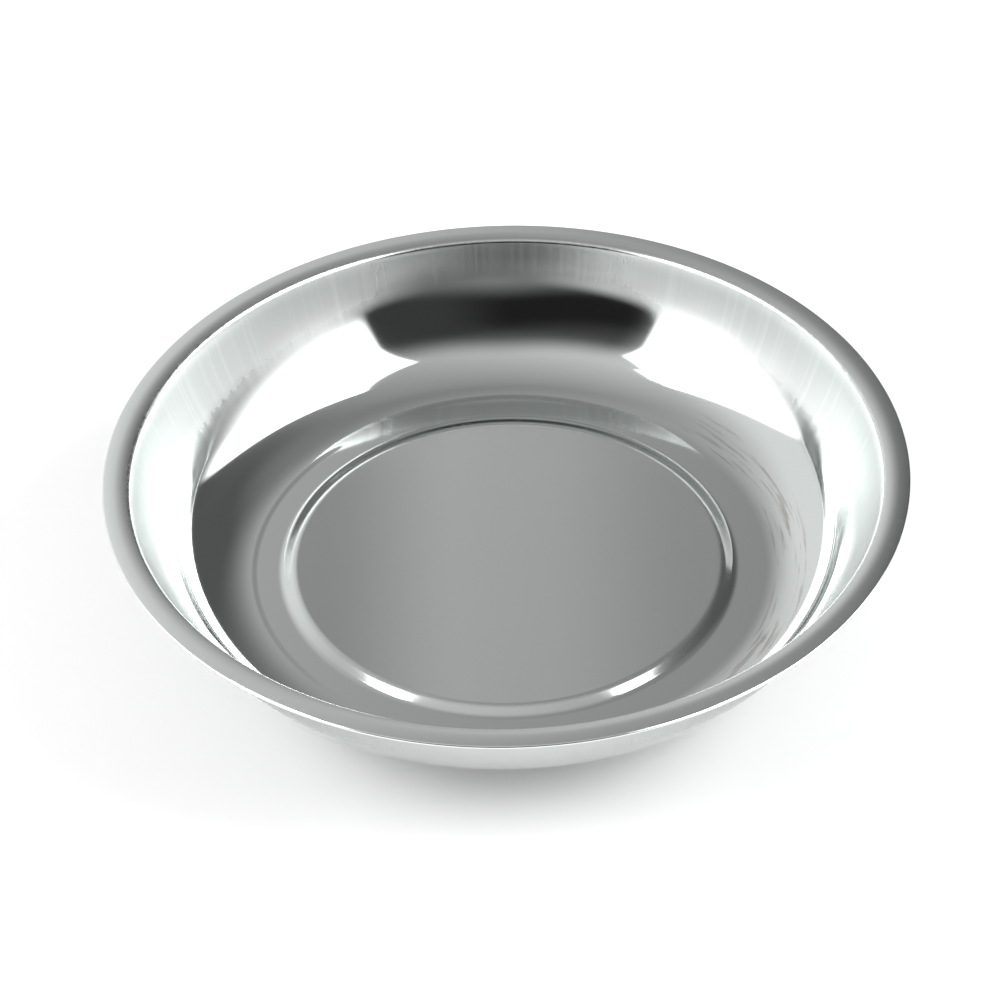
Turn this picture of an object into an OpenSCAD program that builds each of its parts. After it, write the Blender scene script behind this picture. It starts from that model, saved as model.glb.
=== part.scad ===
// Magnetic parts tray: a drawn stainless-steel dish, fixed by a welded stud and a nut to a
// ring magnet in a rubber boot. Z points up. The origin is at the centre of the rubber face
// that the tray rests on. Sizes are in millimetres and angles in degrees.

/* [Dish] */
// Outside diameter of the rim
dish_d = 150; // [130:1:180]
// Depth from the crest of the rim to the raised floor
floor_depth = 22.3; // [18:0.1:27]
// Thickness of the drawn sheet
sheet_t = 0.7; // [0.5:0.05:0.9]
// Width of the rim's flat outer part
rim_flat_w = 2; // [1:0.1:3]
// Slope at which the rim droops outwards
rim_droop = 5; // [0:1:12]
// Radius of the rim's rounded crest, on its upper face
crest_r = 8; // [4:0.5:12]
// Slope at which the crest runs into the lip
lip_slope = 13; // [8:1:20]
// Radius of the lip, the bend from the crest into the wall, on its upper face
lip_r = 1; // [1:0.1:3]
// How far the cove turns past the wall's mean slope: 0 is not at all, 1 is upright
cove_bow = 0.16; // [0.05:0.01:0.4]
// How far the top of the wall turns past that slope
wall_bow = 0.65; // [0.5:0.01:0.85]
// Width of the flat trough round the raised floor
trough_w = 5.3; // [3:0.1:8]

/* [Raised floor] */
// Gap between the boot and the edge of the raised floor's flat
recess_gap = 1.6; // [0.5:0.1:4]
// Height of the raised floor over the trough
step_h = 0.95; // [0.8:0.05:1.4]
// Slope of the step between the two
step_slope = 22; // [18:1:28]
// Length of the straight flank between the step's two bends
step_flank = 1.1; // [0.4:0.1:1.6]

/* [Magnet] */
// Outside diameter of the ring magnet
magnet_d = 72; // [60:0.5:84]
// Bore of the ring magnet
magnet_bore_d = 32; // [28:0.5:36]
// Thickness of the ring magnet
magnet_t = 10; // [8:0.5:14]
// Chamfer on the edges of the ring magnet
magnet_chamfer = 0.6; // [0.3:0.1:1]

/* [Rubber boot] */
// Thickness of the boot's side
boot_side_t = 2; // [1.6:0.1:3]
// Thickness of the boot under the magnet
boot_floor_t = 1.5; // [1.2:0.1:3]
// Thickness of the lip that folds over the magnet
boot_lip_t = 0.7; // [0.5:0.1:1.5]
// Width of that lip on the magnet
boot_lip_w = 4; // [2:0.5:8]
// Radius of the boot's lower outside edge
boot_edge_r = 1.2; // [0.6:0.1:1.5]
// Radius of the boot's upper outside edge
boot_top_r = 0.4; // [0.2:0.1:0.6]
// Gap between the boot and the magnet's rim
boot_gap = 0.1; // [0.05:0.05:0.3]

/* [Retainer] */
// Outside diameter of the retainer's flange
retainer_d = 44; // [40:0.5:50]
// Thickness of the retainer
retainer_t = 0.8; // [0.6:0.1:1]
// Radius of the retainer's bends, on their inner face
retainer_r = 1; // [0.6:0.1:1.6]
// Slope of the retainer's drawn wall
retainer_slope = 80; // [70:1:84]
// Gap between the retainer and the magnet's bore
bore_gap = 0.5; // [0.3:0.1:1]
// Gap between the retainer's flange and the boot
flange_gap = 1; // [0.5:0.1:2]
// Gap between the retainer's raised centre and the head of the stud
head_gap = 1.8; // [1:0.1:2.4]

/* [Stud, washer and nut] */
// Diameter of the stud's thread
thread_d = 5; // [4:0.5:6]
// Clearance all round the thread in the nut
thread_gap = 0.1; // [0.05:0.05:0.2]
// Clearance all round the stud in the washer and the retainer
hole_gap = 0.3; // [0.2:0.05:0.4]
// Diameter of the head that is welded to the dish
stud_head_d = 12; // [10:0.5:16]
// Thickness of that head
stud_head_t = 1; // [0.8:0.1:1.4]
// Length of stud that stands out of the nut
stud_tip = 1.2; // [0.8:0.1:1.4]
// Outside diameter of the spring washer
washer_d = 9.2; // [8.4:0.1:11]
// Thickness of the spring washer
washer_t = 1.3; // [0.8:0.1:1.6]
// Width of the split in the spring washer
washer_split = 0.8; // [0.4:0.1:1.4]
// Width of the nut across its flats
nut_w = 8; // [7.5:0.5:11]
// Height of the nut
nut_h = 4; // [3:0.1:4.6]

/* [Hidden] */
$fn = 96;
// Straight pieces to each small bend and to each of the wall's two arcs
bend_steps = 8;
wall_steps = 14;
// Chamfers that only break an edge
edge_break = 0.3;
// Slope of the chamfer on the nut's corners, and of the split in the washer
nut_chamfer_slope = 30;
split_slope = 25;

// Heights, from the table upwards
magnet_top = boot_floor_t + magnet_t;
floor_under = magnet_top + boot_lip_t;
floor_top = floor_under + sheet_t;
trough_top = floor_top - step_h;
rim_top = floor_top + floor_depth;
retainer_top = floor_under - stud_head_t - head_gap;
washer_top = retainer_top - retainer_t;
nut_top = washer_top - washer_t;
nut_under = nut_top - nut_h;
stud_end = nut_under - stud_tip;

// The raised floor covers the boot. The step round it is a straight flank between two bends,
// and the radius of the bends makes up the height that the flank leaves.
boot_r = magnet_d / 2 + boot_gap + boot_side_t;
floor_r = boot_r + recess_gap;
step_r = (step_h - step_flank * sin(step_slope)) / (2 * (1 - cos(step_slope)));
step_run = 2 * step_r * sin(step_slope) + step_flank * cos(step_slope);
trough_in = floor_r + step_run;
trough_out = trough_in + trough_w;

// The rim is a flat part, a rounded crest and a tight lip, each tangent to the next
rim_r = dish_d / 2;
crest_centre = [rim_r - rim_flat_w - crest_r * sin(rim_droop), rim_top - crest_r];
lip_out = [-sin(lip_slope), cos(lip_slope)];
lip_start = crest_centre + crest_r * lip_out;
lip_centre = crest_centre + (crest_r - lip_r) * lip_out;

// The wall is two tangent arcs, a cove and a flatter one above it. The slopes that they end
// at are reckoned from the wall's mean slope towards upright. Their radii follow from where
// the trough ends and where the lip begins: one equation for the way across, and one for the
// way up.
mean_slope = atan2(lip_start[1] - trough_top, lip_start[0] - trough_out);
cove_slope = mean_slope + (90 - mean_slope) * cove_bow;
wall_slope = mean_slope + (90 - mean_slope) * wall_bow;
wall_across = lip_centre[0] - lip_r * sin(wall_slope) - trough_out;
wall_up = lip_centre[1] + lip_r * cos(wall_slope) - trough_top;
sin_gain = sin(wall_slope) - sin(cove_slope);
cos_loss = cos(cove_slope) - cos(wall_slope);
wall_det = sin(cove_slope) * cos_loss - (1 - cos(cove_slope)) * sin_gain;
cove_r = (wall_across * cos_loss - wall_up * sin_gain) / wall_det;
wall_r = (wall_up * sin(cove_slope) - wall_across * (1 - cos(cove_slope))) / wall_det;

floor_centre = [floor_r, floor_top - step_r];
trough_centre = [trough_in, trough_top + step_r];
cove_centre = [trough_out, trough_top + cove_r];
wall_centre = cove_centre + (cove_r - wall_r) * [sin(cove_slope), -cos(cove_slope)];

// The rim's flat part leaves the crest at a tangent and ends in a round edge at the rim's radius
droop_along = [cos(rim_droop), -sin(rim_droop)];
droop_out = [sin(rim_droop), cos(rim_droop)];
flat_in = crest_centre + (crest_r - sheet_t / 2) * droop_out;
flat_run = (rim_r - sheet_t / 2 - flat_in[0]) / cos(rim_droop);
edge_centre = flat_in + flat_run * droop_along;

// Points along an arc about c, from angle a to angle b, without the first one where skip is 1
function arc(c, r, a, b, n, skip = 0) =
  [for (i = [skip:n]) c + r * [cos(a + (b - a) * i / n), sin(a + (b - a) * i / n)]];

function reversed(list) = [for (i = [len(list) - 1:-1:0]) list[i]];

// One face of the drawn sheet, from the axis to the rim. The offset is 0 on the upper face
// and the sheet's thickness on the lower one.
function dish_face(off) = concat(
  [[0, floor_top - off]],
  arc(floor_centre, step_r - off, 90, 90 - step_slope, bend_steps),
  arc(trough_centre, step_r + off, 270 - step_slope, 270, bend_steps),
  arc(cove_centre, cove_r + off, 270, 270 + cove_slope, wall_steps),
  arc(wall_centre, wall_r + off, 270 + cove_slope, 270 + wall_slope, wall_steps, 1),
  arc(lip_centre, lip_r - off, 90 + wall_slope, 90 + lip_slope, bend_steps, 1),
  arc(crest_centre, crest_r - off, 90 + lip_slope, 90 - rim_droop, bend_steps, 1)
);

module dish() {
  color("silver")
  rotate_extrude()
    polygon(concat(
      dish_face(0),
      arc(edge_centre, sheet_t / 2, 90 - rim_droop, -90 - rim_droop, bend_steps),
      reversed(dish_face(sheet_t))
    ));
}

// Flat head against the underside of the raised floor, and a plain shank at the thread's size
module weld_stud() {
  head_r = stud_head_d / 2;
  shank_r = thread_d / 2;
  head_under = floor_under - stud_head_t;
  color("gainsboro")
  rotate_extrude()
    polygon([
      [0, stud_end],
      [shank_r - edge_break, stud_end],
      [shank_r, stud_end + edge_break],
      [shank_r, head_under],
      [head_r - edge_break, head_under],
      [head_r, head_under + edge_break],
      [head_r, floor_under],
      [0, floor_under]
    ]);
}

module ring_magnet() {
  outer = magnet_d / 2;
  bore = magnet_bore_d / 2;
  c = magnet_chamfer;
  color("dimgray")
  rotate_extrude()
    polygon([
      [bore + c, boot_floor_t],
      [outer - c, boot_floor_t],
      [outer, boot_floor_t + c],
      [outer, magnet_top - c],
      [outer - c, magnet_top],
      [bore + c, magnet_top],
      [bore, magnet_top - c],
      [bore, boot_floor_t + c]
    ]);
}

// Cup with its open side up: a floor with a hole for the retainer, a side with rounded edges,
// and a lip between the magnet and the dish
module magnet_boot() {
  cavity_r = magnet_d / 2 + boot_gap;
  lip_in = magnet_d / 2 - boot_lip_w;
  hole_r = retainer_d / 2 + flange_gap;
  color("#202020")
  rotate_extrude()
    polygon(concat(
      [[hole_r, boot_floor_t], [hole_r, edge_break], [hole_r + edge_break, 0]],
      arc([boot_r - boot_edge_r, boot_edge_r], boot_edge_r, -90, 0, bend_steps),
      arc([boot_r - boot_top_r, floor_under - boot_top_r], boot_top_r, 0, 90, bend_steps),
      [[lip_in, floor_under], [lip_in, magnet_top]],
      [[cavity_r, magnet_top], [cavity_r, boot_floor_t]]
    ));
}

// Sheet-metal top hat: its flange bears on the magnet, and its raised centre, inside the
// magnet's bore, takes the nut so that nothing hard reaches the table
module retainer() {
  s = retainer_slope;
  hole_r = thread_d / 2 + hole_gap;
  foot_out = retainer_r * sin(s);
  foot_up = retainer_r * (1 - cos(s));
  foot_centre = [magnet_bore_d / 2 - bore_gap + foot_out, boot_floor_t + retainer_r];
  crown_r = retainer_r + retainer_t;
  wall_h = retainer_top - boot_floor_t - foot_up - crown_r * (1 - cos(s));
  crown_x = foot_centre[0] - foot_out - wall_h / tan(s) - crown_r * sin(s);
  crown_centre = [crown_x, retainer_top - crown_r];
  upper = concat(
    [[hole_r, retainer_top]],
    arc(crown_centre, crown_r, 90, 90 - s, bend_steps),
    arc(foot_centre, retainer_r, 270 - s, 270, bend_steps),
    [[retainer_d / 2, boot_floor_t]]
  );
  lower = concat(
    [[hole_r, washer_top]],
    arc(crown_centre, retainer_r, 90, 90 - s, bend_steps),
    arc(foot_centre, retainer_r + retainer_t, 270 - s, 270, bend_steps),
    [[retainer_d / 2, boot_floor_t - retainer_t]]
  );
  color("lightgray")
  rotate_extrude()
    polygon(concat(upper, reversed(lower)));
}

module spring_washer() {
  hole_r = thread_d / 2 + hole_gap;
  color("darkgray")
  difference() {
    translate([0, 0, nut_top])
      cylinder(d = washer_d, h = washer_t);
    translate([0, 0, nut_top - washer_t])
      cylinder(r = hole_r, h = 3 * washer_t);
    translate([0, 0, nut_top + washer_t / 2])
      rotate([split_slope, 0, 0])
        translate([0, -washer_split / 2, -2 * washer_t])
          cube([washer_d, washer_split, 4 * washer_t]);
  }
}

module hex_nut() {
  corner_r = nut_w / 2 / cos(30);
  bore_r = thread_d / 2 + thread_gap;
  corner_drop = (corner_r - nut_w / 2 + edge_break) * tan(nut_chamfer_slope);
  color("gainsboro")
  translate([0, 0, nut_under])
  difference() {
    intersection() {
      cylinder(r = corner_r, h = nut_h, $fn = 6);
      rotate_extrude()
        polygon([
          [0, 0],
          [nut_w / 2 - edge_break, 0],
          [corner_r, corner_drop],
          [corner_r, nut_h - corner_drop],
          [nut_w / 2 - edge_break, nut_h],
          [0, nut_h]
        ]);
    }
    translate([0, 0, -nut_h])
      cylinder(r = bore_r, h = 3 * nut_h);
  }
}

dish();
weld_stud();
ring_magnet();
magnet_boot();
retainer();
spring_washer();
hex_nut();
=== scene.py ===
import math

import bpy
import numpy as np
from mathutils import Matrix


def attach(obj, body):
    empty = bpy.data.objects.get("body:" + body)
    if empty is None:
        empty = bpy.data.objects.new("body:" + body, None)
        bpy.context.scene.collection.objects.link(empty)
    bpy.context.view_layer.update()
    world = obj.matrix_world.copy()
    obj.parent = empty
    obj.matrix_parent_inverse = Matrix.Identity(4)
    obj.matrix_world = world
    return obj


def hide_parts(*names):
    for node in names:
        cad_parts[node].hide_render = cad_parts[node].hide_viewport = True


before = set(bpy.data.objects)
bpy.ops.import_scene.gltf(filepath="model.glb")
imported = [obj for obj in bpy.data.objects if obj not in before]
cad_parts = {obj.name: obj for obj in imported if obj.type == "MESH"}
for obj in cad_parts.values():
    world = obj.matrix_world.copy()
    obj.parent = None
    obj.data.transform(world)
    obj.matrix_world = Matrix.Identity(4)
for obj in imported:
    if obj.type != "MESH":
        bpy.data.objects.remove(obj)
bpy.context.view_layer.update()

# Sizes in millimetres and slopes in degrees, as in the part's source
MM = 0.001
RIM_R = 75.0
RIM_TOP = 35.2
SHEET_T = 0.7
RIM_FLAT_W = 2.0
RIM_DROOP = 5.0
CREST_R = 8.0
LIP_SLOPE = 13.0
LIP_R = 1.0
COVE_BOW = 0.16
WALL_BOW = 0.65
FLOOR_TOP = 12.9
FLOOR_R = 39.7
STEP_H = 0.95
STEP_SLOPE = 22.0
STEP_FLANK = 1.1
TROUGH_W = 5.3
FLOOR_UNDER = FLOOR_TOP - SHEET_T
BOOT_R = 38.1
BOOT_CAVITY_R = 36.1
BOOT_LIP_IN = 32.0
BOOT_HOLE_R = 23.0
BOOT_HOLE_EDGE_R = 0.4
BOOT_FLOOR_T = 1.5
BOOT_EDGE_R = 1.2
BOOT_TOP_R = 0.4
MAGNET_TOP = 11.5
RETAINER_TOP = 9.4
RETAINER_T = 0.8
RETAINER_R = 1.0
RETAINER_SLOPE = 80.0
RETAINER_RIM_R = 22.0
RETAINER_WALL_R = 15.5
STUD_HOLE_R = 2.8
STUD_R = 2.5
STUD_PITCH = 0.8
STUD_THREAD_DEPTH = 0.46
STUD_TIP_LENGTH = 0.6
STUD_TIP_DROP = 0.5
STUD_END = 2.1
STUD_HEAD_R = 6.0
STUD_HEAD_T = 1.0
STUD_HEAD_EDGE_R = 0.3
# Share of light that the bright steel returns, and the even light on matt pieces
STEEL_SHINE = 0.64
ROOM_LIGHT = 0.42
# The point in the dish that the lamps are aimed at, in metres
AIM = (0.0, 0.0, 0.02)
# Rings this near to a bend keep the flats flat in the shading
BEND_GUARD = 0.2


def arc(centre, radius, start, end, count):
    """Points on a circle about the centre, at evenly spaced angles from start to end."""
    a = np.radians(np.linspace(start, end, count))
    return np.column_stack((centre[0] + radius * np.cos(a), centre[1] + radius * np.sin(a)))


def along(first, last, count=2):
    """Evenly spaced points on the straight run from the first point to the last."""
    s = np.linspace(0.0, 1.0, count)[:, None]
    return np.array(first) * (1 - s) + np.array(last) * s


def joined(*runs):
    """The runs one after another, without points that repeat the one before."""
    p = np.vstack(runs)
    keep = np.ones(len(p), bool)
    keep[1:] = np.hypot(*np.diff(p, axis=0).T) > 1e-6
    return p[keep]


def new_piece(name, points, quads, tris=None):
    """A mesh object at the origin from points in millimetres and index arrays, shaded smooth."""
    faces = [list(f) for f in quads.tolist()]
    if tris is not None:
        faces += [list(f) for f in tris.tolist()]
    mesh = bpy.data.meshes.new(name)
    mesh.from_pydata((points * MM).tolist(), [], faces)
    mesh.polygons.foreach_set("use_smooth", np.ones(len(mesh.polygons), bool))
    mesh.update()
    piece = bpy.data.objects.new(name, mesh)
    bpy.context.scene.collection.objects.link(piece)
    return piece


def turned(name, profile, sides):
    """A body of revolution from a closed profile. Point (i, k) is profile point i turned about Z
    by k / sides of a full turn. A profile point on the axis is one vertex with a fan of triangles
    about it."""
    r, z = profile[:, 0], profile[:, 1]
    a = np.linspace(0.0, 2 * np.pi, sides, endpoint=False)
    pole = r < 1e-6
    width = np.where(pole, 1, sides)
    start = np.concatenate(([0], np.cumsum(width)[:-1]))
    rings = np.flatnonzero(~pole)
    points = np.zeros((width.sum(), 3))
    index = start[rings][:, None] + np.arange(sides)
    points[index, 0] = r[rings][:, None] * np.cos(a)
    points[index, 1] = r[rings][:, None] * np.sin(a)
    points[index, 2] = z[rings][:, None]
    points[start[pole], 2] = z[pole]
    n = len(r)
    pairs = np.column_stack((np.arange(n), (np.arange(n) + 1) % n))
    pairs = pairs[~(pole[pairs[:, 0]] & pole[pairs[:, 1]])]
    k = np.arange(sides)
    k1 = (k + 1) % sides
    both = pairs[~pole[pairs].any(axis=1)]
    lo, hi = start[both[:, 0]][:, None], start[both[:, 1]][:, None]
    quads = np.stack((lo + k, lo + k1, hi + k1, hi + k), axis=-1).reshape(-1, 4)
    fans = []
    for i, j in pairs[pole[pairs].any(axis=1)]:
        if pole[i]:
            fans.append(np.column_stack((np.full(sides, start[i]), start[j] + k1, start[j] + k)))
        else:
            fans.append(np.column_stack((np.full(sides, start[j]), start[i] + k, start[i] + k1)))
    return new_piece(name, points, quads, np.vstack(fans) if fans else None)


def slope_way(degrees):
    """The unit vector that leans inwards from upright by a slope in degrees."""
    a = math.radians(degrees)
    return np.array((-math.sin(a), math.cos(a)))


def rim_crest():
    """The centre of the rim's rounded crest. Its arc meets the flat outer part at a tangent."""
    return np.array((RIM_R - RIM_FLAT_W, RIM_TOP - CREST_R)) + CREST_R * slope_way(RIM_DROOP) * (1, 0)


def dish_face(off):
    """One face of the drawn sheet from the axis outwards: flat floor, two bends of the step,
    flat trough, two tangent wall arcs, the lip and the rim's crest. The lower face is the same
    run of arcs with the sheet's thickness taken off each convex radius and put on each concave
    one. The radii of the wall's arcs solve for the way across and the way up to the lip."""
    s = math.radians(STEP_SLOPE)
    step_r = (STEP_H - STEP_FLANK * math.sin(s)) / (2 * (1 - math.cos(s)))
    trough_top = FLOOR_TOP - STEP_H
    trough_in = FLOOR_R + 2 * step_r * math.sin(s) + STEP_FLANK * math.cos(s)
    trough_out = trough_in + TROUGH_W
    crest = rim_crest()
    lip_start = crest + CREST_R * slope_way(LIP_SLOPE)
    lip = crest + (CREST_R - LIP_R) * slope_way(LIP_SLOPE)
    mean = math.degrees(math.atan2(lip_start[1] - trough_top, lip_start[0] - trough_out))
    low = mean + (90 - mean) * COVE_BOW
    high = mean + (90 - mean) * WALL_BOW
    level, foot, head = slope_way(0), slope_way(low), slope_way(high)
    way = lip + LIP_R * head - (trough_out, trough_top)
    cove_r, wall_r = np.linalg.solve(np.column_stack((level - foot, foot - head)), way)
    cove = np.array((trough_out, trough_top + cove_r))
    wall = cove + (wall_r - cove_r) * foot
    floor_z, trough_z = FLOOR_TOP - off, trough_top - off
    return joined(
        along((0.0, floor_z), (FLOOR_R - BEND_GUARD, floor_z), count=8),
        arc((FLOOR_R, FLOOR_TOP - step_r), step_r - off, 90, 90 - STEP_SLOPE, 12),
        arc((trough_in, trough_top + step_r), step_r + off, 270 - STEP_SLOPE, 270, 12),
        along((trough_in + BEND_GUARD, trough_z), (trough_out - BEND_GUARD, trough_z), count=3),
        arc(cove, cove_r + off, 270, 270 + low, 28),
        arc(wall, wall_r + off, 270 + low, 270 + high, 22),
        arc(lip, LIP_R - off, 90 + high, 90 + LIP_SLOPE, 12),
        arc(crest, CREST_R - off, 90 + LIP_SLOPE, 90 - RIM_DROOP, 10),
    )


def dish_shell():
    """The drawn sheet: upper face, drooping rim with a round edge, and lower face back to the
    axis, turned about Z."""
    half = SHEET_T / 2
    out = slope_way(-RIM_DROOP)
    flat_in = rim_crest() + (CREST_R - half) * out
    run = (RIM_R - half - flat_in[0]) / out[1]
    edge = flat_in + run * np.array((out[1], -out[0]))
    profile = joined(
        dish_face(0.0),
        arc(edge, half, 90 - RIM_DROOP, -90 - RIM_DROOP, 12),
        dish_face(SHEET_T)[::-1],
    )
    return turned("dish_shell", profile[::-1], 360)


def boot_skin():
    """The rubber boot: a cup with a rounded lower edge, a thin lip over the magnet and a hole
    for the retainer, turned about Z."""
    hole_edge = BOOT_HOLE_R + BOOT_HOLE_EDGE_R
    profile = joined(
        along((BOOT_HOLE_R, BOOT_FLOOR_T), (BOOT_HOLE_R, BOOT_HOLE_EDGE_R)),
        arc((hole_edge, BOOT_HOLE_EDGE_R), BOOT_HOLE_EDGE_R, 180, 270, 6),
        along((hole_edge, 0.0), (BOOT_R - BOOT_EDGE_R, 0.0), count=6),
        arc((BOOT_R - BOOT_EDGE_R, BOOT_EDGE_R), BOOT_EDGE_R, -90, 0, 10),
        arc((BOOT_R - BOOT_TOP_R, FLOOR_UNDER - BOOT_TOP_R), BOOT_TOP_R, 0, 90, 8),
        along((BOOT_LIP_IN, FLOOR_UNDER), (BOOT_LIP_IN, MAGNET_TOP)),
        along((BOOT_CAVITY_R, MAGNET_TOP), (BOOT_CAVITY_R, BOOT_FLOOR_T)),
    )
    return turned("boot_skin", profile, 256)


def retainer_plate():
    """The sheet-metal top hat: hole, raised centre, drawn wall and flange, with the same bends
    on both faces, turned about Z."""
    s = math.radians(RETAINER_SLOPE)
    foot = (RETAINER_WALL_R + RETAINER_R * math.sin(s), BOOT_FLOOR_T + RETAINER_R)
    crown_r = RETAINER_R + RETAINER_T
    rise = RETAINER_TOP - BOOT_FLOOR_T - (RETAINER_R + crown_r) * (1 - math.cos(s))
    crown = (RETAINER_WALL_R - rise / math.tan(s) - crown_r * math.sin(s), RETAINER_TOP - crown_r)

    def face(off):
        return joined(
            along((STUD_HOLE_R, RETAINER_TOP - off), (crown[0], RETAINER_TOP - off), count=4),
            arc(crown, crown_r - off, 90, 90 - RETAINER_SLOPE, 12),
            arc(foot, RETAINER_R + off, 270 - RETAINER_SLOPE, 270, 12),
            along((foot[0], BOOT_FLOOR_T - off), (RETAINER_RIM_R, BOOT_FLOOR_T - off), count=4),
        )

    profile = joined(face(0.0), face(RETAINER_T)[::-1])
    return turned("retainer_plate", profile[::-1], 192)


def threaded_stud():
    """The stud's thread: the radius at height z and angle a is the crest radius less a rounded
    saw-tooth of (z / pitch - a / full turn), faded out at the tip. A flat head closes the top."""
    sides = 72
    top = FLOOR_UNDER - STUD_HEAD_T
    z = np.linspace(STUD_END, top, 150)
    a = np.linspace(0.0, 2 * np.pi, sides, endpoint=False)
    phase = (z[:, None] / STUD_PITCH - a[None] / (2 * np.pi)) % 1.0
    tooth = np.clip(np.abs(2 * phase - 1) * 1.25 - 0.12, 0.0, 1.0)
    tip = np.clip((z - STUD_END) / STUD_TIP_LENGTH, 0.0, 1.0)[:, None]
    r = STUD_R - STUD_THREAD_DEPTH * tooth * tip - STUD_TIP_DROP * (1 - tip)
    shank = np.stack((r * np.cos(a), r * np.sin(a), np.broadcast_to(z[:, None], r.shape)), axis=-1)
    edge_z = top + STUD_HEAD_EDGE_R
    head = joined(
        arc((STUD_HEAD_R - STUD_HEAD_EDGE_R, edge_z), STUD_HEAD_EDGE_R, -90, 0, 5),
        along((STUD_HEAD_R, edge_z), (STUD_HEAD_R, FLOOR_UNDER)),
    )
    head_z = np.broadcast_to(head[:, 1:], (len(head), sides))
    rings = np.stack((head[:, :1] * np.cos(a), head[:, :1] * np.sin(a), head_z), axis=-1)
    points = np.concatenate((shank, rings)).reshape(-1, 3)
    n = len(shank) + len(head)
    k = np.arange(sides)
    lo = (np.arange(n - 1) * sides)[:, None]
    k1 = (k + 1) % sides
    quads = np.stack((lo + k, lo + k1, lo + sides + k1, lo + sides + k), axis=-1)
    ends = np.array(((0.0, 0.0, STUD_END), (0.0, 0.0, FLOOR_UNDER)))
    first, last = n * sides, (n - 1) * sides
    fans = np.concatenate((
        np.column_stack((np.full(sides, first), k1, k)),
        np.column_stack((np.full(sides, first + 1), last + k, last + k1)),
    ))
    return new_piece("threaded_stud", np.concatenate((points, ends)), quads.reshape(-1, 4), fans)


def add(tree, kind, inputs=(), **props):
    """A node with its properties set, and its inputs linked from sockets or set to values."""
    n = tree.nodes.new(kind)
    for key, value in props.items():
        setattr(n, key, value)
    for key, value in dict(inputs).items():
        if isinstance(value, bpy.types.NodeSocket):
            tree.links.new(value, n.inputs[key])
        else:
            n.inputs[key].default_value = value
    return n


def calc(tree, operation, a, b=0.0, c=0.0):
    """The output of a Math node."""
    return add(tree, "ShaderNodeMath", {0: a, 1: b, 2: c}, operation=operation).outputs[0]


def times(tree, first, *others):
    """The product of the factors."""
    for factor in others:
        first = calc(tree, "MULTIPLY", first, factor)
    return first


def plus(tree, value, part, amount):
    """The value with an amount of the part added."""
    return calc(tree, "MULTIPLY_ADD", part, amount, value)


def ramp(tree, value, low, high, start=0.0, end=1.0):
    """A smooth step of the value between low and high, from start to end."""
    return add(
        tree, "ShaderNodeMapRange", {0: value, 1: low, 2: high, 3: start, 4: end},
        interpolation_type="SMOOTHSTEP",
    ).outputs[0]


def blend(tree, share, a, b):
    """The number a, or b where the share is 1."""
    return add(tree, "ShaderNodeMix", {0: share, 2: a, 3: b}, data_type="FLOAT").outputs[0]


def tint(tree, share, a, b):
    """The colour a, or b where the share is 1."""
    return add(tree, "ShaderNodeMix", {0: share, 6: a, 7: b}, data_type="RGBA").outputs[2]


def noise(tree, vector, scale, detail=2.0, rough=0.5):
    """The factor of a noise texture on the vector."""
    inputs = {"Vector": vector, "Scale": scale, "Detail": detail, "Roughness": rough}
    return add(tree, "ShaderNodeTexNoise", inputs).outputs[0]


def stretched(tree, vector, scale):
    """The vector with each coordinate multiplied, so that a noise on it is drawn out."""
    return add(tree, "ShaderNodeVectorMath", {0: vector, 1: scale}, operation="MULTIPLY").outputs[0]


def new_material(name):
    """An empty node material with its Principled shader and its output joined."""
    m = bpy.data.materials.new(name)
    m.use_nodes = True
    tree = m.node_tree
    tree.nodes.clear()
    shader = add(tree, "ShaderNodeBsdfPrincipled")
    add(tree, "ShaderNodeOutputMaterial", {0: shader.outputs[0]})
    place = add(tree, "ShaderNodeTexCoord").outputs["Object"]
    return m, tree, shader, place


def bumped(tree, shader, height, distance):
    """A bump on the shader's normal, as high as the height times the distance in metres."""
    b = add(tree, "ShaderNodeBump", {"Strength": 1.0, "Distance": distance, "Height": height})
    tree.links.new(b.outputs[0], shader.inputs["Normal"])


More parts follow.
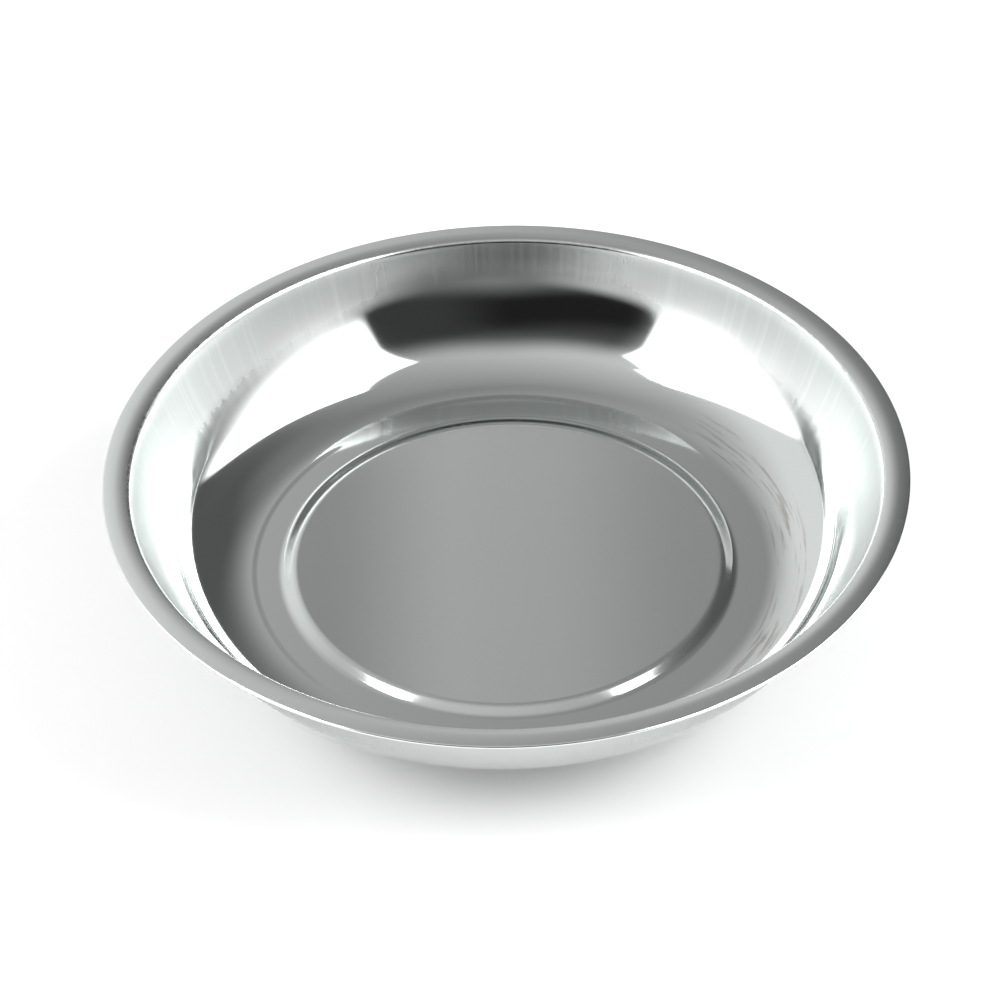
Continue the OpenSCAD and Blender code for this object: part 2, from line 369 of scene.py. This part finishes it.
def drawn_stainless():
    """Bright stainless sheet: a duller floor with rolling grain along Y, a bright cove, and an
    upper wall that the draw left satin, with lines up its slope, smoother at the back than at the
    sides. A shallow crease runs round the left of the trough, and use has rubbed faint rings into
    the right of the cove. Painted reflection and shade: the floor's colour is lightest in the
    middle, the satin wall is painted darker at the back and front than at the sides, the front of
    the step and the rim are painted brighter, and the underside is painted darker."""
    m, tree, shader, place = new_material("drawn_stainless")
    x, y, z = add(tree, "ShaderNodeSeparateXYZ", {0: place}).outputs
    square = plus(tree, times(tree, y, y), x, x)
    radius = calc(tree, "MAXIMUM", calc(tree, "SQRT", square), 0.001)
    across = calc(tree, "DIVIDE", x, radius)
    along_y = calc(tree, "DIVIDE", y, radius)
    round_way = add(tree, "ShaderNodeCombineXYZ", {0: across, 1: along_y, 2: z}).outputs[0]
    ring_way = add(tree, "ShaderNodeCombineXYZ", {0: across, 1: along_y, 2: radius}).outputs[0]
    cloud = noise(tree, place, 60.0, 3.0, 0.6)
    lines = noise(tree, stretched(tree, round_way, (60.0, 60.0, 3.0)), 1.0, 3.0, 0.6)
    grain = noise(tree, stretched(tree, place, (1800.0, 45.0, 45.0)), 1.0, 3.0, 0.6)
    rings = noise(tree, stretched(tree, ring_way, (3.0, 3.0, 1100.0)), 1.0, 3.0, 0.6)
    on_floor = ramp(tree, radius, 0.0402, 0.0396)
    sides = calc(tree, "SUBTRACT", times(tree, across, across), times(tree, along_y, along_y))
    ends = ramp(tree, sides, -0.5, -0.9)
    line_swing = calc(tree, "SUBTRACT", lines, 0.5)
    cloud_swing = calc(tree, "SUBTRACT", cloud, 0.5)
    edge = plus(tree, z, line_swing, 0.0002)
    edge = plus(tree, edge, sides, 0.0028)
    edge = plus(tree, edge, cloud_swing, 0.0012)
    edge = plus(tree, edge, ramp(tree, along_y, -0.1, -0.5), 0.0045)
    drawn = ramp(tree, edge, blend(tree, ends, 0.0205, 0.0236), blend(tree, ends, 0.0275, 0.0262))
    rim = ramp(tree, radius, 0.0690, 0.0715)
    rubbed = times(tree, ramp(tree, radius, 0.0490, 0.0515), ramp(tree, radius, 0.0570, 0.0556))
    scuff = times(tree, rubbed, ramp(tree, across, 0.60, 0.86), ramp(tree, rings, 0.52, 0.66))
    rough = ramp(tree, radius, 0.0395, 0.0440, 0.17, 0.055)
    rough = blend(tree, drawn, rough, blend(tree, ends, 0.42, 0.22))
    rough = blend(tree, rim, rough, 0.10)
    rough = plus(tree, rough, cloud_swing, 0.03)
    rough = plus(tree, rough, times(tree, line_swing, drawn), 0.22)
    rough = plus(tree, rough, scuff, 0.12)
    tree.links.new(rough, shader.inputs["Roughness"])
    micron = 1.0e-6
    height = times(tree, lines, times(tree, ramp(tree, z, 0.017, 0.028), 1.4))
    height = plus(tree, height, grain, 0.35)
    crease = times(tree, ramp(tree, radius, 0.0473, 0.0486), ramp(tree, across, -0.60, -0.85))
    height = plus(tree, height, crease, 70.0)
    bumped(tree, shader, height, micron)
    tone = tint(tree, cloud, (0.615, 0.640, 0.632, 1.0), (0.625, 0.650, 0.642, 1.0))
    # Painted reflection: the floor's colour is painted lightest in the middle and darker to the left
    # and right.
    left, right = ramp(tree, x, -0.008, -0.036), ramp(tree, x, 0.006, 0.036)
    plate_painted_sheen = tint(tree, left, (0.735, 0.762, 0.752, 1.0), (0.465, 0.483, 0.478, 1.0))
    plate_painted_sheen = tint(tree, right, plate_painted_sheen, (0.59, 0.612, 0.604, 1.0))
    tone = tint(tree, on_floor, tone, plate_painted_sheen)
    # Painted highlight: the front of the step is painted brighter.
    step_front_painted_sheen = times(tree, ramp(tree, radius, 0.0398, 0.0408), ramp(tree, radius, 0.0434, 0.0424))
    step_front_painted_sheen = times(tree, step_front_painted_sheen, ramp(tree, along_y, -0.62, -0.88))
    tone = tint(tree, step_front_painted_sheen, tone, (0.80, 0.826, 0.818, 1.0))
    # Painted highlight: the rim is painted brighter than the sheet, most at the front.
    rim_sheen_front = ramp(tree, along_y, 0.4, -0.7)
    rim_painted_sheen = tint(tree, rim_sheen_front, (0.70, 0.728, 0.718, 1.0), (0.82, 0.850, 0.840, 1.0))
    tone = tint(tree, rim, tone, rim_painted_sheen)
    satin = times(tree, drawn, ramp(tree, radius, 0.0705, 0.0690))
    # The satin wall's own darker tone with pale lines up its slope, and painted shade that makes it
    # darker at the back and front than at the sides.
    satin_tone_and_painted_shade = tint(tree, ends, (0.475, 0.486, 0.482, 1.0), (0.400, 0.410, 0.406, 1.0))
    bright = tint(tree, ends, (0.52, 0.532, 0.528, 1.0), (0.435, 0.446, 0.442, 1.0))
    satin_tone_and_painted_shade = tint(tree, ramp(tree, lines, 0.50, 0.70), satin_tone_and_painted_shade, bright)
    tone = tint(tree, satin, tone, satin_tone_and_painted_shade)
    tone = tint(tree, scuff, tone, (0.43, 0.42, 0.405, 1.0))
    # Painted shade: faces that look downwards are painted darker.
    facing = add(tree, "ShaderNodeNewGeometry").outputs["Normal"]
    lean = add(tree, "ShaderNodeSeparateXYZ", {0: facing}).outputs[2]
    tone = tint(tree, ramp(tree, lean, -0.02, -0.25), tone, (0.52, 0.541, 0.534, 1.0))
    tree.links.new(tone, shader.inputs["Base Color"])
    tree.links.new(times(tree, satin, 0.5), shader.inputs["Anisotropic"])
    around = add(tree, "ShaderNodeTangent", direction_type="RADIAL", axis="Z")
    tree.links.new(around.outputs[0], shader.inputs["Tangent"])
    shader.inputs["Metallic"].default_value = 1.0
    return m


def zinc_plate():
    """Bright zinc plating: bluish grey, finely mottled and a little rough."""
    m, tree, shader, place = new_material("zinc_plate")
    mottle = noise(tree, place, 900.0, 4.0, 0.65)
    fine = noise(tree, place, 4200.0, 2.0, 0.5)
    tone = tint(tree, mottle, (0.50, 0.52, 0.55, 1.0), (0.66, 0.67, 0.68, 1.0))
    tree.links.new(tone, shader.inputs["Base Color"])
    tree.links.new(ramp(tree, mottle, 0.3, 0.7, 0.24, 0.42), shader.inputs["Roughness"])
    shader.inputs["Metallic"].default_value = 1.0
    bumped(tree, shader, fine, 4.0e-6)
    return m


def moulded_rubber():
    """Black moulded rubber: a fine matt grain, with dust in the low spots."""
    m, tree, shader, place = new_material("moulded_rubber")
    grain = noise(tree, place, 2600.0, 3.0, 0.6)
    dust = noise(tree, place, 120.0, 4.0, 0.6)
    dusty = ramp(tree, dust, 0.45, 0.8)
    tone = tint(tree, dusty, (0.016, 0.016, 0.017, 1.0), (0.045, 0.044, 0.042, 1.0))
    tree.links.new(tone, shader.inputs["Base Color"])
    tree.links.new(ramp(tree, grain, 0.3, 0.7, 0.55, 0.8), shader.inputs["Roughness"])
    bumped(tree, shader, grain, 2.5e-5)
    return m


def sintered_ferrite():
    """Ground ferrite: dark grey, with open grain and pale grinding lines."""
    m, tree, shader, place = new_material("sintered_ferrite")
    pores = noise(tree, place, 1500.0, 5.0, 0.7)
    lines = noise(tree, stretched(tree, place, (900.0, 30.0, 30.0)), 1.0, 2.0, 0.5)
    ground = ramp(tree, lines, 0.4, 0.75)
    tone = tint(tree, ground, (0.045, 0.045, 0.048, 1.0), (0.095, 0.094, 0.095, 1.0))
    tree.links.new(tone, shader.inputs["Base Color"])
    tree.links.new(ramp(tree, pores, 0.3, 0.7, 0.45, 0.7), shader.inputs["Roughness"])
    bumped(tree, shader, pores, 2.0e-5)
    return m


STAINLESS = drawn_stainless()
ZINC = zinc_plate()
RUBBER = moulded_rubber()
FERRITE = sintered_ferrite()

for piece, node, slot, finish in (
    (dish_shell(), "dish", "stainless", STAINLESS),
    (boot_skin(), "magnet_boot", "rubber", RUBBER),
    (retainer_plate(), "retainer", "zinc_plate", ZINC),
    (threaded_stud(), "weld_stud", "zinc_plate", ZINC),
):
    piece.data.materials.append(finish)
    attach(piece, "root")
    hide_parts(node)

for node, finish in (("ring_magnet", FERRITE), ("spring_washer", ZINC), ("hex_nut", ZINC)):
    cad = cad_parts[node]
    cad.data.materials.clear()
    cad.data.materials.append(finish)


def studio_floor():
    """A pale round floor: a disc and a ring round it. What the camera and the metal see gets a
    little plain white, so that the open floor is white and only the shadow shows. It is clear
    from below."""
    sides, drop = 96, -0.05
    a = np.linspace(0.0, 2 * np.pi, sides, endpoint=False)
    r = np.array((200.0, 4000.0))[:, None]
    rings = np.stack((r * np.cos(a), r * np.sin(a), np.full((2, sides), drop)), axis=-1)
    k = np.arange(sides)
    k1 = (k + 1) % sides
    quads = np.column_stack((k, k1, sides + k1, sides + k))[:, ::-1]
    fan = np.column_stack((np.full(sides, 2 * sides), k, k1))
    points = np.concatenate((rings.reshape(-1, 3), ((0.0, 0.0, drop),)))
    floor = new_piece("studio_floor", points, quads, fan)
    m = bpy.data.materials.new("studio_floor")
    m.use_nodes = True
    tree = m.node_tree
    tree.nodes.clear()
    path = add(tree, "ShaderNodeLightPath").outputs
    seen = calc(tree, "MAXIMUM", path["Is Camera Ray"], path["Is Glossy Ray"])
    matt = add(tree, "ShaderNodeBsdfDiffuse", {0: (0.90, 0.90, 0.90, 1.0)})
    glow = add(tree, "ShaderNodeEmission", {0: (1.0, 1.0, 1.0, 1.0), 1: times(tree, seen, 0.02)})
    both = add(tree, "ShaderNodeAddShader", {0: matt.outputs[0], 1: glow.outputs[0]})
    clear = add(tree, "ShaderNodeBsdfTransparent")
    back = add(tree, "ShaderNodeNewGeometry").outputs["Backfacing"]
    pick = add(tree, "ShaderNodeMixShader", {0: back, 1: both.outputs[0], 2: clear.outputs[0]})
    add(tree, "ShaderNodeOutputMaterial", {0: pick.outputs[0]})
    floor.data.materials.append(m)


def studio_world():
    """The light tent that the bright metal shows: a grey roof, a pale back on the left, a dark
    gap at the back on the right, an open front that is darkest on the left and has pale low
    corners, and two white side panels. Each is a smooth patch of bearing and height in degrees.
    The camera sees plain white, and the floor and the matt pieces get an even grey."""
    world = bpy.data.worlds.new("light_tent")
    bpy.context.scene.world = world
    world.use_nodes = True
    world.cycles.sampling_method = "NONE"
    tree = world.node_tree
    tree.nodes.clear()
    way = add(tree, "ShaderNodeTexCoord").outputs["Generated"]
    x, y, z = add(tree, "ShaderNodeSeparateXYZ", {0: way}).outputs
    deg = 180.0 / math.pi
    height = times(tree, calc(tree, "ARCSINE", z), deg)
    back = times(tree, calc(tree, "ARCTAN2", x, y), deg)
    front = times(tree, calc(tree, "ARCTAN2", x, times(tree, y, -1.0)), deg)

    def patch(*edges, share=1.0):
        """The product of a share and smooth steps, each of (value, from, to)."""
        for value, low, high in edges:
            share = times(tree, ramp(tree, value, low, high), share)
        return share

    def slant(value, other, k):
        """The value shifted by k degrees for each degree of the other one."""
        return plus(tree, value, other, k)

    level = plus(tree, plus(tree, 0.36, y, -0.26), x, -0.18)
    low = (height, 15.0, 6.0)
    gap = ramp(tree, height, 2.0, 16.0, 0.65, 1.0)
    aside = calc(tree, "SQRT", plus(tree, 60.0, front, front))
    arched = slant(height, aside, 0.25)
    open_front = ((front, -62.0, -38.0), (front, 58.0, 36.0))
    for share, bright in (
        (patch((back, 60.0, 20.0), (back, -130.0, -95.0), (height, 66.0, 32.0)), 0.66),
        (patch(low, share=0.85), 0.50),
        (patch((back, -34.0, 28.0), (back, 92.0, 46.0), (height, 72.0, 40.0), share=gap), 0.08),
        (patch(*open_front, (arched, 75.0, 43.0)), 0.07),
        (patch(*open_front, (arched, 46.0, 31.0)), 0.012),
        (patch(*open_front, (front, -4.0, 22.0), (arched, 49.0, 34.0)), 0.036),
        (patch(*open_front, (arched, 23.5, 9.5)), 0.22),
        (patch(low, (front, -84.0, -50.0), (front, -4.0, -36.0)), 0.92),
        (patch(low, (front, 84.0, 54.0), (front, 16.0, 48.0)), 0.72),
        (patch(
            (front, -47.0, -51.0), (slant(front, height, -0.42), -114.0, -110.0),
            (slant(height, front, 0.44), 29.0, 25.0), (height, 61.5, 58.5), (height, 4.0, 28.0),
        ), 5.0),
        (patch(
            (front, 41.0, 45.0), (slant(front, height, 0.40), 125.0, 121.0),
            (slant(height, front, -0.12), 57.5, 54.5), (height, 8.0, 34.0),
        ), 5.0),
    ):
        level = blend(tree, share, level, bright)
    level = times(tree, level, 1.0 / STEEL_SHINE)
    path = add(tree, "ShaderNodeLightPath").outputs
    direct = calc(tree, "LESS_THAN", path["Diffuse Depth"], 0.5)
    mirror = times(tree, path["Is Glossy Ray"], direct)
    level = blend(tree, mirror, ROOM_LIGHT, level)
    level = blend(tree, path["Is Camera Ray"], level, 1.0)
    shine = add(tree, "ShaderNodeBackground", {0: (1.0, 1.0, 1.0, 1.0), 1: level})
    add(tree, "ShaderNodeOutputWorld", {0: shine.outputs[0]})


def soft_lamp(name, place, size, power):
    """A square area lamp aimed at the dish, seen by the floor and the rubber, not by the metal."""
    data = bpy.data.lights.new(name, "AREA")
    data.shape, data.size, data.energy = "SQUARE", size, power
    lamp = bpy.data.objects.new(name, data)
    bpy.context.scene.collection.objects.link(lamp)
    direction = np.array(place) - np.array(AIM)
    lamp.location = place
    lamp.rotation_mode = "XYZ"
    lean = math.acos(direction[2] / np.linalg.norm(direction))
    lamp.rotation_euler = (lean, 0.0, math.atan2(direction[1], direction[0]) + math.pi / 2)
    lamp.visible_glossy = False


def light_card(name, place, size, power):
    """A small square card near the dish that only the bright metal shows."""
    soft_lamp(name, place, size, power)
    card = bpy.data.objects[name]
    card.visible_glossy, card.visible_diffuse, card.visible_camera = True, False, False


def photo_camera():
    """A long lens twelve rim radii from the rim's centre, tilted down, with a slight roll and
    aim off the centre, as the rim's outline in the photograph asks."""
    tilt, reach, roll = math.radians(40.108), 12.0 * RIM_R * MM, math.radians(-1.49)
    aim_right, aim_up, focal_px, image_px = -0.0013, -0.0061, 4845.0, 1001.0
    rim_edge_z = 34.67 * MM
    place = np.array((0.0, -math.cos(tilt), math.sin(tilt))) * reach
    ahead = -place / np.linalg.norm(place)
    right = np.array((1.0, 0.0, 0.0))
    ahead = ahead + aim_right * right + aim_up * np.cross(right, ahead)
    ahead = ahead / np.linalg.norm(ahead)
    right = np.cross(ahead, (0.0, 0.0, 1.0))
    right = right / np.linalg.norm(right)
    up = np.cross(right, ahead)
    c, s = math.cos(roll), math.sin(roll)
    right, up = c * right + s * up, c * up - s * right
    data = bpy.data.cameras.new("photo_camera")
    data.sensor_width = 36.0
    data.lens = focal_px * data.sensor_width / image_px
    data.clip_start, data.clip_end = 0.05, 50.0
    camera = bpy.data.objects.new("photo_camera", data)
    bpy.context.scene.collection.objects.link(camera)
    spot = place + (0.0, 0.0, rim_edge_z)
    rows = np.column_stack((right, up, -ahead, spot))
    camera.matrix_world = Matrix([list(row) for row in rows] + [[0.0, 0.0, 0.0, 1.0]])
    bpy.context.scene.camera = camera


studio_floor()
studio_world()
soft_lamp("left_panel", (-0.75, -0.10, 0.52), 0.6, 9.1)
soft_lamp("right_panel", (0.75, -0.10, 0.52), 0.6, 10.1)
light_card("left_card", (-0.098, 0.018, 0.212), 0.035, 0.02)
light_card("right_card", (0.112, 0.028, 0.248), 0.040, 0.02)
photo_camera()
bpy.context.scene.view_settings.view_transform = "Standard"
